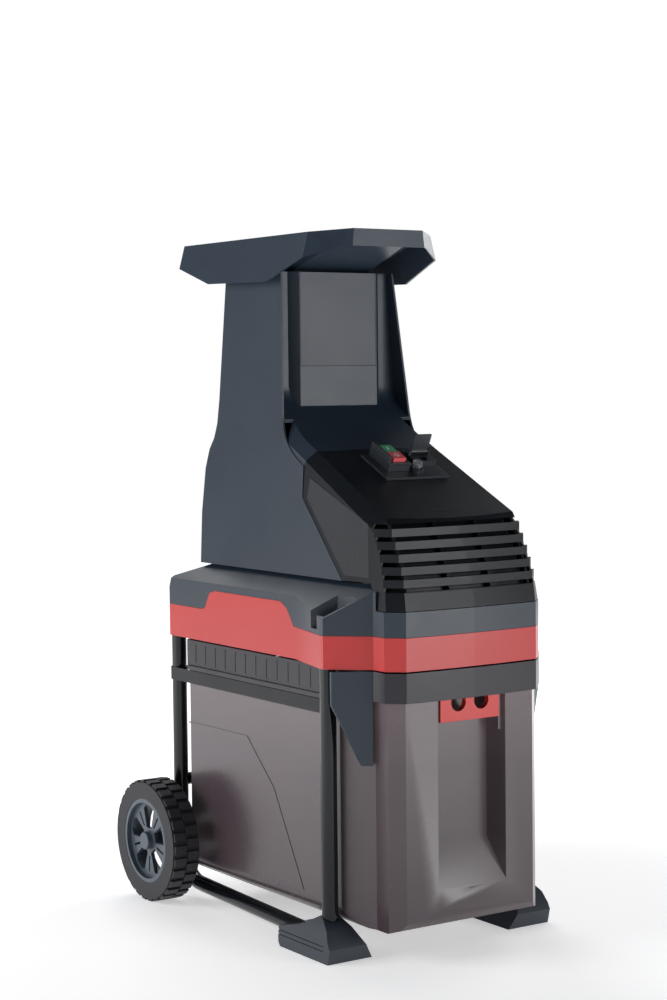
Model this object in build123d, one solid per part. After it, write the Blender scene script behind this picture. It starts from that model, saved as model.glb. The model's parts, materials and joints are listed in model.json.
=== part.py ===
"""Electric quiet shredder (wood chipper) on a two-wheeled tube stand, with a slide-out collection box.

Millimetres, +Z up, front faces -Y, +X is the machine's left-right axis seen from the front.
The origin is on the ground, at the middle of the footprint box.
"""
from build123d import *
from math import atan2, cos, pi, sin, sqrt
import os

# ---- overall sizes ---------------------------------------------------------------------------
DEPTH = 612.0                   # front face of the housing to the back of the tyres
HEIGHT = 975.0                  # ground to hopper rim
TRACK = 434.0                   # over the outer faces of the wheels
FRONT_Y = -DEPTH / 2
REAR_Y = DEPTH / 2

# ---- clearances ------------------------------------------------------------------------------
SEAM = 0.4                      # gap between two mouldings that meet
SLIDE_GAP = 0.6                 # gap between a sliding piece and its guide
RUN_FIT = 0.05                  # radial clearance of a turning shaft
FACE_GAP = 0.05                 # gap between stacked pieces of the switch unit
BIG = 1500.0                    # larger than the machine, for cutting blocks

# ---- stand: tubes, rails, axle, feet ------------------------------------------------------------
WHEEL_R = 90.0
WHEEL_W = 45.0
HUB_R = 62.0
HUB_RECESS = 4.0
AXLE_R = 6.0
AXLE_Y = REAR_Y - WHEEL_R
WHEEL_GAP = 1.5                 # washer between the wheel and its bracket
BRACKET_T = 4.0
LEG_TO_WHEEL = 32.0             # rear leg centre to the inner face of the wheel
TUBE_R = 11.0
TUBE_WALL = 1.5
REAR_LEG_X = TRACK / 2 - WHEEL_W - LEG_TO_WHEEL
REAR_LEG_Y = AXLE_Y + 21.0
FRONT_LEG_X = REAR_LEG_X + 24.0
FRONT_LEG_Y = FRONT_Y + 105.0
TUBE_RUN_Z = 24.0               # centre height of the run along the ground
FRONT_BEND_R = 40.0
REAR_BEND_R = 60.0
LEG_ENGAGE = 40.0               # length of each leg end inside the housing socket
SOCKET_T = 2.5
RAIL_T = 2.0
RAIL_HEIGHT = 19.0
RAIL_TOP_Z = 342.0
CROSSBAR_R = 9.0
CROSSBAR_Z = 170.0
FOOT_X0 = FRONT_LEG_X - 48.0
FOOT_X1 = FRONT_LEG_X + 23.0
FOOT_FRONT_Y = FRONT_LEG_Y - 27.0
FOOT_L = 121.0
FOOT_H = 58.0
FOOT_GROOVE_D = 1.2

# ---- housing -----------------------------------------------------------------------------------
WALL = 3.0
BASE_Z = 389.0                  # underside of the red base
BAND_TOP_Z = 433.0              # red to slate seam at the front and bulges
RED_HIGH_Z = 465.0              # top of the raised red side panel
SIDE_TOP_Z = 487.0              # top of the upright side wall
DECK_Z = 500.0                  # foot of the tower
HOUSE_X = REAR_LEG_X + TUBE_R
HOUSE_REAR_Y = REAR_LEG_Y + 17.0
HOUSE_CORNER = 9.0
BULGE_X = FRONT_LEG_X + 15.0
BULGE_Y = FRONT_LEG_Y - 12.0
BULGE_START_Y = BULGE_Y + 112.0
BULGE_EDGE_Z = 456.0            # outer edge of the sloped bulge top
GRIP_X = BULGE_X - 39.0         # inner wall of the lifting pocket
GRIP_TOP_Z = 483.0              # height of the bulge top over that wall
GRIP_FLOOR_Z = 440.0
GRIP_LIP = 3.5                  # thickness of the wall that the fingers hold
NOSE_X = HOUSE_X - 22.0
NOSE_BACK_Y = FRONT_Y + 49.0
NOSE_Y = FRONT_Y + 25.0
NOSE_FACE_X = NOSE_X - 21.0
NOSE_FACE_Y = FRONT_Y + 5.0

# ---- tower and hopper ----------------------------------------------------------------------------
TOWER_BASE_X = NOSE_X - 4.0
TOWER_TOP_X = TOWER_BASE_X - 28.0
TOWER_TOP_Z = HEIGHT - 53.0
TOWER_REAR_Y = 195.0
TOWER_FRONT_TOP_Y = 9.0         # front edge of the side plates at the top
TOWER_FRONT_LOW_Y = -12.0       # the same where its lower curve starts
CURVE_Z = 722.0
PANEL_Y = 8.0
PANEL_X = TOWER_TOP_X - 31.0
PANEL_SEAM_Z = TOWER_TOP_Z - 134.0
PANEL_SWEEP_R = 36.0            # concave foot of the front panel
COVE_D = 13.0                   # how far the channels beside the panel stand back
LIP_T = 3.0                     # thickness of the side plates' front edges
CHUTE_X = PANEL_X - 4.0
CHUTE_FRONT_Y = 34.0
CHUTE_REAR_Y = 122.0
RIM_X = TOWER_TOP_X + 6.0
RIM_FACE_X = RIM_X - 45.0
RIM_FRONT_Y = -118.0
RIM_SIDE_Y = -74.0
RIM_CORNER_Y = 267.0
RIM_REAR_Y = 290.0
RIM_CROWN = 3.5                 # how much lower the sides of the rim are than its middle
SKIRT_FLARE = 19.0              # how far the side wings spread at their lowest line
SKIRT_DROP = 69.0

# ---- motor cover and controls --------------------------------------------------------------------
COVER_Z = 467.0                 # bottom edge of the motor cover at the nose
COVER_TOP_Y = -84.0
COVER_TOP_Z = 671.0
COVER_BROW_Y = FRONT_Y + 55.0
COVER_BROW_Z = 589.0
CREASE_X = TOWER_BASE_X - 25.0
CREASE_LEAN = (1.35, -0.45, 1.0)   # direction that the bevel beside the crease faces
NOSE_SETBACK = 47.0             # how far the front leans back between the lip and the brow
NOSE_NARROWING = 10.0
NOSE_BULGE = 1.6                # exponent of the bulging front profile
BROW_R = 14.0
LOUVRE_COUNT = 6
LOUVRE_PITCH = 16.2
LOUVRE_H = 5.6
LOUVRE_Z0 = 492.0
LOUVRE_RIB_X = 34.0
SIDE_INSERT_T = 1.5
PLATE_X0 = -42.0
PLATE_X1 = 64.0
PLATE_L = 70.0
PLATE_T = 4.0
PLATE_OFFSET = 58.0             # along the slope, from the tower foot to the middle of the plate
SWITCH_X0 = -30.0
SWITCH_X1 = 6.0
SWITCH_U0 = -17.0
SWITCH_U1 = 34.0
SWITCH_H = 13.0
GUARD_H = 8.0
KEY_HALF_X = 10.5
KEY_X = -11.0
KEY_FOOT = 4.0                  # floor of the key wells over the plate
BUTTON_TRAVEL = 3.0
RESET_TRAVEL = 2.0
RESET_X = 17.0
RESET_U = -17.0
RESET_R = 7.0
SEAT_X0 = 21.0
SEAT_X1 = 58.0
SEAT_U0 = -6.0
SEAT_U1 = 29.0
SEAT_H = 9.0
INLET_X = 40.0
INLET_U = 2.0
INLET_R = 6.5
FLAP_PIN_R = 1.5
FLAP_HUB_R = 3.4
FLAP_X0 = 26.0
FLAP_X1 = 54.0
FLAP_U = 16.0
FLAP_L = 26.0
FLAP_T = 3.0

# ---- collection box --------------------------------------------------------------------------------
BOX_SIDE_X = HOUSE_X - 3.0
BOX_AXLE_GAP = 4.0
BOX_REAR_Y = AXLE_Y - AXLE_R - BOX_AXLE_GAP
BOX_SHOULDER_Y = FRONT_LEG_Y - 4.0
BOX_FLOOR_Z = 42.0
BOX_CORNER_R = 28.0
BOX_WALL = 3.0
RIM_BAND_H = 40.0
BOX_INSET = 6.0                 # the box front stands back from its rim band
RECESS_X = NOSE_FACE_X - 47.0
RECESS_FLOOR_X = RECESS_X - 15.0
RECESS_D = 30.0
WING_LOW_Z = 262.0
LOCK_X = RECESS_X - 12.0
LOCK_H = 31.0
LOCK_T = 9.0
LOCK_SET = 5.0                  # lock face behind the box front
LOCK_TRAVEL = 14.0
SCOOP_R = 12.0
SCOOP_X = 19.0

# ---- drive: motor, gears, drum ---------------------------------------------------------------------
GEAR_M = 2.0                    # module
PINION_T = 10
WHEEL1_T = 62
PINION2_T = 14
DRUM_GEAR_T = 46
GEAR_FACE = 14.0
GEAR_GAP = 4.0
CASE_T = 4.0
DRUM_X = -6.0
DRUM_Z = 447.0
DRUM_R = 42.0
DRUM_L = 96.0
DRUM_BLADES = 8
DRUM_FRONT_Y = 24.0
SHAFT_R = 10.0
BEARING_R = 21.0
MOTOR_R = 55.0
MOTOR_L = 120.0
MOTOR_X = 0.0
MOTOR_Z = 536.0
ROTOR_R = 28.0
ROTOR_GAP = 1.0
ROTOR_SHAFT_R = 7.0
PINION_BORE_R = 5.0
FAN_BLADES = 7
KNOB_R = 21.0
KNOB_L = 22.0
SCREW_R = 5.0
PRESS_TRAVEL = 4.0
PRESS_PLATE_T = 12.0

parts = {}


# ---- helpers -----------------------------------------------------------------------------------
def prism(points, z0, z1):
    """Upright prism over a plan outline."""
    face = make_face(Polyline(*points, close=True))
    return Pos(0, 0, z0) * extrude(face, z1 - z0)


def side_prism(points, x0, x1):
    """Solid between two X planes whose (y, z) outline is given."""
    return side_sweep([Polyline(*points, close=True)], x0, x1)


def side_sweep(edges, x0, x1):
    """The same for an outline made of lines and curves drawn as (y, z)."""
    face = make_face([Plane.YZ * edge for edge in edges])
    return Pos(x0, 0, 0) * extrude(face, x1 - x0, dir=(1, 0, 0))


def front_prism(points, y0, y1):
    """Solid between two Y planes whose (x, z) outline is given."""
    face = make_face(Polyline(*[(x, 0, z) for x, z in points], close=True))
    return Pos(0, y0, 0) * extrude(face, y1 - y0, dir=(0, 1, 0))


def block(x0, x1, y0, y1, z0, z1):
    """Box from its limits."""
    return Pos((x0 + x1) / 2, (y0 + y1) / 2, (z0 + z1) / 2) * Box(x1 - x0, y1 - y0, z1 - z0)


def rod_x(x0, x1, y, z, r):
    """Round bar along X."""
    return Pos((x0 + x1) / 2, y, z) * Rot(0, 90, 0) * Cylinder(r, x1 - x0)


def rod_y(x, y0, y1, z, r):
    """Round bar along Y."""
    return Pos(x, (y0 + y1) / 2, z) * Rot(90, 0, 0) * Cylinder(r, y1 - y0)


def rod_z(x, y, z0, z1, r):
    """Round bar along Z."""
    return Pos(x, y, (z0 + z1) / 2) * Cylinder(r, z1 - z0)


def mirror_x(shape):
    """The same piece on the other side of the machine."""
    return mirror(shape, about=Plane.YZ)


def cut_above(shape, origin, normal):
    """Keep what lies behind the plane through origin, away from its normal."""
    return split(shape, bisect_by=Plane(origin=origin, z_dir=normal), keep=Keep.BOTTOM)


def cut_both(shape, origin, normal):
    """Cut with a plane on +X and with its mirror image."""
    for side in (-1, 1):
        shape = cut_above(shape, (side * origin[0], *origin[1:]), (side * normal[0], *normal[1:]))
    return shape


def both_sides(points):
    """Close a plan outline given for +X by mirroring it; the points run from rear to front."""
    return points + [(-x, y) for x, y in reversed(points)]


def largest(shape):
    """The biggest solid of a cut result, dropping loose crumbs."""
    return shape.solids().sort_by(SortBy.VOLUME)[-1]


def save(name, shape):
    """Keep a finished piece under its node name."""
    parts[name] = shape


# ---- outlines shared by the housing, the cover and the box -----------------------------------------
def nose_points(inset=0.0, lean=0.0):
    """Plan of the nose on +X, from the corner behind it to the crowned middle of the front.

    inset moves it inwards by a wall; lean is 0 at the lip of the cover and 1 at its brow.
    """
    back = NOSE_SETBACK * max(lean, 0.0) ** NOSE_BULGE
    side = NOSE_X - NOSE_NARROWING * lean - inset
    face = NOSE_FACE_X - 2 * lean - inset * 0.4
    return [
        (side, NOSE_BACK_Y + back),
        (side, NOSE_Y + back + inset * 0.4),
        (face, NOSE_FACE_Y + back + inset),
        (face * 0.5, FRONT_Y + back + inset + (NOSE_FACE_Y - FRONT_Y) * 0.25),
        (0.01, FRONT_Y + back + inset),
    ]


def housing_plan(inset=0.0):
    """Closed plan of the housing, optionally inset by a wall thickness."""
    half = [
        (HOUSE_X - HOUSE_CORNER - inset, HOUSE_REAR_Y - inset),
        (HOUSE_X - inset, HOUSE_REAR_Y - HOUSE_CORNER - inset),
        (HOUSE_X - inset, BULGE_START_Y + inset * 0.2),
        (BULGE_X - 2 - inset, BULGE_Y + 14),
        (BULGE_X - inset, BULGE_Y + inset * 0.6),
        (NOSE_X - inset, NOSE_BACK_Y + inset),
    ]
    return both_sides(half + nose_points(inset)[1:])


def flank(shape, inset=0.0):
    """Trim both sides to the leaning flanks that the tower and the motor cover share."""
    lean = (TOWER_BASE_X - TOWER_TOP_X) / (TOWER_TOP_Z - DECK_Z)
    return cut_both(shape, (TOWER_BASE_X - inset, 0, DECK_Z), (1, 0, lean))


# ---- stand ---------------------------------------------------------------------------------------
LEG_TOP_Z = BASE_Z + LEG_ENGAGE


def tube_path(corners, radii):
    """Centre line of the stand tube through the given number of its corners."""
    points = [
        (FRONT_LEG_X, FRONT_LEG_Y, LEG_TOP_Z),
        (FRONT_LEG_X, FRONT_LEG_Y, TUBE_RUN_Z),
        (REAR_LEG_X, REAR_LEG_Y, TUBE_RUN_Z),
        (REAR_LEG_X, REAR_LEG_Y, LEG_TOP_Z),
    ]
    return FilletPolyline(*points[:corners], radius=radii)


def frame_tube():
    """One bent tube: front leg, ground run and rear leg, on +X."""
    path = tube_path(4, [FRONT_BEND_R, REAR_BEND_R])
    section = Plane(origin=path @ 0, z_dir=path % 0) * (Circle(TUBE_R) - Circle(TUBE_R - TUBE_WALL))
    return sweep(section, path=path)


def rail():
    """Flat rail that the box hangs on: clamp round the rear leg, straight run, end at the front leg."""
    z0 = RAIL_TOP_Z - RAIL_HEIGHT
    x1 = FRONT_LEG_X - TUBE_R - SLIDE_GAP / 3
    x0 = x1 - RAIL_T
    run = block(x0, x1, FRONT_LEG_Y, REAR_LEG_Y, z0, RAIL_TOP_Z)
    clamp = rod_z(REAR_LEG_X, REAR_LEG_Y, z0, RAIL_TOP_Z, TUBE_R + RAIL_T)
    clamp += block(REAR_LEG_X, x1, REAR_LEG_Y - TUBE_R - RAIL_T, REAR_LEG_Y, z0, RAIL_TOP_Z)
    return run + clamp - rod_z(REAR_LEG_X, REAR_LEG_Y, z0 - 1, RAIL_TOP_Z + 1, TUBE_R + RUN_FIT)


def foot():
    """Moulded front foot that grips the bend of the tube and spreads inwards to the ground."""
    y0 = FOOT_FRONT_Y
    y1 = y0 + FOOT_L
    grip_x = FRONT_LEG_X - TUBE_R
    section = [
        (FOOT_X1, 0), (FOOT_X1, FOOT_H * 0.5), (FOOT_X1 - 4, FOOT_H * 0.75), (FOOT_X1 - 12, FOOT_H),
        (grip_x - 2, FOOT_H), (grip_x - 9, FOOT_H * 0.8), (FOOT_X0, 0),
    ]
    body = front_prism(section, y0 - 6, y1)
    profile = [
        (y0, 0), (y0 - 5, FOOT_H * 0.35), (y0 + 8, FOOT_H * 0.75), (y0 + 32, FOOT_H + 1),
        (y0 + 70, FOOT_H * 0.68), (y1 - 2, FOOT_H * 0.5), (y1, FOOT_H * 0.3), (y1, 6), (y1 - 4, 0),
    ]
    body &= side_prism(profile, FOOT_X0 - 1, FOOT_X1 + 1)
    for z in (FOOT_H * 0.27, FOOT_H * 0.38):
        body -= block(FOOT_X1 - FOOT_GROOVE_D, FOOT_X1 + 1, y0 + 10, y1 + 1, z, z + 2)
    path = tube_path(3, [FRONT_BEND_R])
    bore = sweep(Plane(origin=path @ 0, z_dir=path % 0) * Circle(TUBE_R), path=path)
    return body - bore


def build_stand():
    """Everything of the stand that stays still."""
    tube = frame_tube()
    strap = rail()
    pad = foot()
    inner = REAR_LEG_X - TUBE_R
    bar = rod_x(-inner, inner, REAR_LEG_Y, CROSSBAR_Z, CROSSBAR_R)
    bar -= rod_x(-inner - 1, inner + 1, REAR_LEG_Y, CROSSBAR_Z, CROSSBAR_R - TUBE_WALL)
    for side in (-1, 1):
        bar -= rod_z(side * REAR_LEG_X, REAR_LEG_Y, CROSSBAR_Z - 30, CROSSBAR_Z + 30, TUBE_R)
    save("rear_crossbar", bar)
    wheel_in = TRACK / 2 - WHEEL_W
    x1 = wheel_in - WHEEL_GAP
    x0 = x1 - BRACKET_T
    half_d = 9.0
    bracket = block(REAR_LEG_X + TUBE_R, x0, REAR_LEG_Y - half_d, REAR_LEG_Y + half_d, WHEEL_R + 22, WHEEL_R + 40)
    bracket += block(x0, x1, AXLE_Y - 14, REAR_LEG_Y + half_d, WHEEL_R - 14, WHEEL_R + 40)
    bracket -= rod_x(x0 - 1, x1 + 1, AXLE_Y, WHEEL_R, AXLE_R)
    for name, piece in (("frame_tube", tube), ("rail", strap), ("foot", pad), ("axle_bracket", bracket)):
        save(name + "_right", piece)
        save(name + "_left", mirror_x(piece))
    axle_end = TRACK / 2 - HUB_RECESS
    save("axle", rod_x(-axle_end, axle_end, AXLE_Y, WHEEL_R, AXLE_R))


# ---- wheels --------------------------------------------------------------------------------------
TREAD_D = 4.0
TREAD_BLOCKS = 30
DISC_BACK = 12.0                # middle of the wheel disc behind the outer face of the wheel
CAP_R = 13.0


def tyre():
    """Tyre with two staggered rows of tread blocks, on +X."""
    x0 = TRACK / 2 - WHEEL_W
    x1 = TRACK / 2 - 1.5
    ring = rod_x(x0, x1, 0, 0, WHEEL_R - TREAD_D) - rod_x(x0 - 1, x1 + 1, 0, 0, HUB_R)
    mid = (x0 + x1) / 2
    for row, (a, b) in enumerate(((x0 + 2, mid - 0.8), (mid + 0.8, x1 - 2))):
        for i in range(TREAD_BLOCKS):
            turn = 360.0 * (i + 0.5 * row) / TREAD_BLOCKS
            lug = block(a, b, -6.0, 6.0, WHEEL_R - TREAD_D - 1.5, WHEEL_R - 0.4)
            ring += Rot(turn, 0, 0) * lug
    return ring & rod_x(x0, x1, 0, 0, WHEEL_R)


def wheel_hub():
    """Rim, disc with five double spokes and bore, on +X."""
    x0 = TRACK / 2 - WHEEL_W + 4
    x1 = TRACK / 2 - 2.0
    disc_x = TRACK / 2 - DISC_BACK
    rim = rod_x(x0, x1, 0, 0, HUB_R) - rod_x(x0 - 1, x1 + 1, 0, 0, HUB_R - 6)
    disc = rod_x(disc_x - 3, disc_x + 3, 0, 0, HUB_R - 5.5)
    for i in range(5):
        window = make_face(Plane.YZ * Polyline((-7, 18), (7, 18), (15, 46), (8, 52), (-8, 52), (-15, 46),
                                               close=True))
        disc -= Rot(72 * i, 0, 0) * Pos(disc_x - 6, 0, 0) * extrude(window, 12, dir=(1, 0, 0))
        slit = block(disc_x - 6, disc_x + 6, -1.6, 1.6, 24, 47)
        disc -= Rot(72 * i + 36, 0, 0) * slit
    boss = rod_x(x0, disc_x + 4, 0, 0, CAP_R + 2)
    hub = rim + disc + boss
    return hub - rod_x(x0 - 5, x1 + 5, 0, 0, AXLE_R + RUN_FIT)


def build_wheels():
    """Wheels, caps and the washers on the axle."""
    place = Pos(0, AXLE_Y, WHEEL_R)
    face_x = TRACK / 2 - DISC_BACK + 4
    cap_x1 = TRACK / 2
    cap = rod_x(face_x, cap_x1, 0, 0, CAP_R) - rod_x(face_x - 1, cap_x1 - 2, 0, 0, CAP_R - 4)
    cap = chamfer(cap.faces().sort_by(Axis.X)[-1].outer_wire().edges(), 1.0)
    for name, piece in (("tyre", tyre()), ("wheel_hub", wheel_hub()), ("hub_cap", cap)):
        save(name + "_right", place * piece)
        save(name + "_left", mirror_x(place * piece))
    wheel_in = TRACK / 2 - WHEEL_W
    washer = rod_x(wheel_in - WHEEL_GAP, wheel_in + 3.5, 0, 0, AXLE_R + 5) - rod_x(0, BIG, 0, 0, AXLE_R)
    washer = place * washer
    save("axle_washers", Compound(children=[washer, mirror_x(washer)]))




# ---- housing -------------------------------------------------------------------------------------
def housing_block(inset=0.0, floor=BASE_Z):
    """Outer form of base and shoulder: upright walls, sloped shoulders, sloped bulge tops."""
    body = prism(housing_plan(inset), floor, DECK_Z - inset)
    lean = (DECK_Z - SIDE_TOP_Z, 0, HOUSE_X - TOWER_BASE_X)
    body = cut_both(body, (HOUSE_X - inset, 0, SIDE_TOP_Z - inset), lean)
    body = cut_both(body, (BULGE_X - inset, BULGE_Y, BULGE_EDGE_Z - inset),
                    (GRIP_TOP_Z - BULGE_EDGE_Z, 0, BULGE_X - GRIP_X))
    body = cut_above(body, (0, HOUSE_REAR_Y - 48 - inset, SIDE_TOP_Z + 2 - inset), (0, 0.32, 1))
    return cut_above(body, (0, HOUSE_REAR_Y - 16 - inset, SIDE_TOP_Z - 8 - inset), (0, 1, 0.42))


def red_region():
    """Space taken by the red base: the band, and the raised panels on both sides."""
    start = BULGE_START_Y
    panel = [
        (start, BAND_TOP_Z - 4), (start + 19, RED_HIGH_Z - 9), (start + 35, RED_HIGH_Z), (114, RED_HIGH_Z),
        (127, RED_HIGH_Z - 4), (140, BAND_TOP_Z + 6), (149, BAND_TOP_Z + 3), (BIG, BAND_TOP_Z + 3),
        (BIG, BAND_TOP_Z - 4),
    ]
    band = block(-BIG, BIG, -BIG, BIG, 0, BAND_TOP_Z)
    return band + side_prism(panel, HOUSE_X - 8, BIG) + side_prism(panel, -BIG, -HOUSE_X + 8)


def grip_pocket(grow=0.0):
    """Lifting pocket behind the lip of the bulge, on +X."""
    outline = [
        (GRIP_X - grow, BULGE_Y + 22 + grow), (BULGE_X - GRIP_LIP + grow, BULGE_Y + 48 + grow),
        (BULGE_X - GRIP_LIP + grow, BULGE_Y + 2 - grow), (GRIP_X - grow, BULGE_Y - 28 - grow),
    ]
    return prism(outline, GRIP_FLOOR_Z - grow, DECK_Z + 1)


def leg_places():
    """Plan positions of the four leg ends."""
    return [(side * x, y) for side in (-1, 1) for x, y in ((FRONT_LEG_X, FRONT_LEG_Y), (REAR_LEG_X, REAR_LEG_Y))]


def build_housing():
    """Red base tray and slate shoulder."""
    outer = housing_block()
    inner = housing_block(inset=WALL, floor=BASE_Z - 1)
    red = red_region()
    base = (outer - inner) & red
    hole_x = CHUTE_X + 30
    base += prism(housing_plan(WALL - 0.2), BASE_Z, BASE_Z + WALL)
    base -= block(-hole_x, hole_x, CHUTE_FRONT_Y - 40, CHUTE_REAR_Y + 40, BASE_Z - 1, BASE_Z + WALL)
    for x, y in leg_places():
        base += rod_z(x, y, BASE_Z, LEG_TOP_Z + 2, TUBE_R + SOCKET_T) & outer
        base -= rod_z(x, y, BASE_Z - 1, LEG_TOP_Z, TUBE_R)
    save("housing_base", base)

    upper = (outer - inner) - Pos(0, 0, SEAM) * red
    upper -= flank(side_prism(TOWER_SIDE, -TOWER_BASE_X - 5, TOWER_BASE_X + 5), inset=WALL + 1)
    deck_x = TOWER_BASE_X - WALL - 5
    upper -= block(-deck_x, deck_x, NOSE_BACK_Y + 12, TOWER_REAR_Y - 11, DECK_Z - 12, DECK_Z + 10)
    upper -= cover_solid(grow=SEAM)
    upper -= block(-BIG, BIG, -BIG, NOSE_BACK_Y - 6 + SEAM, COVER_Z - SEAM, DECK_Z + 1)
    for flip in (False, True):
        liner = grip_pocket(WALL)
        pocket = grip_pocket()
        upper += (mirror_x(liner) if flip else liner) & outer
        upper -= mirror_x(pocket) if flip else pocket
    for x, y in leg_places():
        upper -= rod_z(x, y, BASE_Z - 1, LEG_TOP_Z + 3, TUBE_R + SOCKET_T + 0.5)
    save("housing_upper", largest(upper))


# ---- tower, hopper, chute --------------------------------------------------------------------------
TOWER_BACK = [
    (TOWER_REAR_Y, DECK_Z), (TOWER_REAR_Y + 3, 575), (TOWER_REAR_Y - 2, 640), (TOWER_REAR_Y - 11, 668),
    (TOWER_REAR_Y - 23, 685), (TOWER_REAR_Y - 30, 706), (TOWER_REAR_Y - 33, 740), (TOWER_REAR_Y - 37, TOWER_TOP_Z),
]
SEAM_LINE = [(COVER_TOP_Y + 12, 650), (COVER_TOP_Y + 11, 607), (COVER_TOP_Y - 95, DECK_Z)]
TOWER_SIDE = TOWER_BACK + [(TOWER_FRONT_TOP_Y, TOWER_TOP_Z), (TOWER_FRONT_LOW_Y, CURVE_Z)] + SEAM_LINE
SLOPE = atan2(COVER_TOP_Z - COVER_BROW_Z, COVER_TOP_Y - COVER_BROW_Y)


def on_slope(y):
    """Height of the cover's top plane at a depth."""
    return COVER_TOP_Z + (y - COVER_TOP_Y) * sin(SLOPE) / cos(SLOPE)


def facets(curve, count=9):
    """Points along a curve, so that a swept form gets flat strips; the first point is left out."""
    points = [curve @ (i / count) for i in range(1, count + 1)]
    return [(p.X, p.Y) for p in points]


def tower_body(inset=0.0):
    """Solid tower: side plates that sweep forwards, and the apron that meets the motor cover between them."""
    start = (TOWER_FRONT_LOW_Y, CURVE_Z)
    end = SEAM_LINE[0]
    sweep_in = Spline(start, (TOWER_FRONT_LOW_Y - 20, CURVE_Z - 45), end, tangents=[(-0.1, -1), (-1, -0.5)])
    back = [(y - inset, z) for y, z in TOWER_BACK]
    outline = [*SEAM_LINE[1:], *back, (TOWER_FRONT_TOP_Y, TOWER_TOP_Z), start, *facets(sweep_in)]
    body = flank(side_prism(outline, -TOWER_BASE_X - 10, TOWER_BASE_X + 10), inset)
    deep_y = PANEL_Y + COVE_D + 20
    apron = side_prism([(deep_y, CURVE_Z), (COVER_TOP_Y, CURVE_Z), (COVER_TOP_Y, COVER_TOP_Z), end,
                        (COVER_TOP_Y + 60, end[1] - 12), (deep_y, end[1])], -TOWER_BASE_X, TOWER_BASE_X)
    return body + flank(bevel_sides(apron, inset), max(inset, LIP_T / 2))


def front_space(wall_y, drop, radius):
    """Space in front of an upright wall whose foot sweeps out to the cover's top plane, lowered by drop."""
    low = on_slope(wall_y) - drop
    out_y = wall_y - radius * 1.6
    out = (out_y, on_slope(out_y) - drop)
    corner = (wall_y, low + radius * 0.75)
    curve = Spline(corner, (wall_y - radius * 0.4, low + radius * 0.06), out,
                   tangents=[(0, -1), (-cos(SLOPE), -sin(SLOPE))])
    far_y = FRONT_Y - 50
    outline = [corner, *facets(curve), (far_y, on_slope(far_y) - drop), (far_y, HEIGHT), (wall_y, HEIGHT)]
    return side_prism(outline, -TOWER_BASE_X - 5, TOWER_BASE_X + 5)


def bevel_sides(shape, drop=0.0):
    """Bevel beside the creases of the cover's top plane."""
    return cut_both(shape, (CREASE_X, COVER_TOP_Y, COVER_TOP_Z - drop), CREASE_LEAN)


def tower_recess(depth=0.0):
    """Hollow of the tower's front, moved back by depth: two channels with the front panel between them."""
    back = PANEL_Y + COVE_D
    face = PANEL_Y + depth
    half = PANEL_X - depth * 0.4
    channel = front_space(back + depth, depth, PANEL_SWEEP_R + COVE_D)
    pad = prism([(-half - 12, back + 60), (-half - 12, back + depth), (-half, face), (half, face),
                 (half + 12, back + depth), (half + 12, back + 60)], BASE_Z, HEIGHT - 1)
    return channel - (pad - front_space(face, depth, PANEL_SWEEP_R))


def build_tower():
    """Tower shell, upper front panel and the feed chute inside."""
    between = flank(block(-TOWER_BASE_X, TOWER_BASE_X, FRONT_Y, REAR_Y, DECK_Z, HEIGHT), inset=LIP_T)
    shell = tower_body() - (tower_recess() & between)
    hollow = tower_body(WALL) & block(-BIG, BIG, COVER_TOP_Y + 14, REAR_Y, DECK_Z, HEIGHT)
    hollow += flank(block(-TOWER_BASE_X, TOWER_BASE_X, COVER_TOP_Y - 96, TOWER_REAR_Y - WALL, DECK_Z - 1, 640), WALL)
    shell -= hollow - tower_recess(WALL)
    shell -= flank(block(-TOWER_BASE_X, TOWER_BASE_X, CHUTE_FRONT_Y, 156, DECK_Z - 1, HEIGHT), WALL)
    shell -= block(-PANEL_X + 1, PANEL_X - 1, PANEL_Y - 1, PANEL_Y + WALL + 1, PANEL_SEAM_Z, TOWER_TOP_Z + 1)
    save("tower_shell", largest(shell))
    save("front_panel_upper", block(-PANEL_X + 1 + SEAM, PANEL_X - 1 - SEAM, PANEL_Y, PANEL_Y + WALL - SEAM,
                                    PANEL_SEAM_Z + SEAM, TOWER_TOP_Z - SEAM))
    chute_top = TOWER_TOP_Z - 6
    chute_bottom = DRUM_Z + DRUM_R + 6
    duct = block(-CHUTE_X, CHUTE_X, CHUTE_FRONT_Y, CHUTE_REAR_Y, chute_bottom, chute_top)
    duct -= block(-CHUTE_X + WALL, CHUTE_X - WALL, CHUTE_FRONT_Y + WALL, CHUTE_REAR_Y - WALL,
                  chute_bottom - 1, chute_top + 1)
    save("feed_chute", duct)


def rim_plan(grow=0.0):
    """Octagonal plan of the hopper rim."""
    half = [
        (RIM_FACE_X + grow * 0.4, RIM_REAR_Y + grow * 0.15), (RIM_X + grow, RIM_CORNER_Y),
        (RIM_X + grow, RIM_SIDE_Y), (RIM_FACE_X + grow * 0.4, RIM_FRONT_Y - grow * 0.1),
    ]
    return both_sides(half)


def plan_face(points, z):
    """Plan outline as a face at a height."""
    return Pos(0, 0, z) * make_face(Polyline(*points, close=True))


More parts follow.
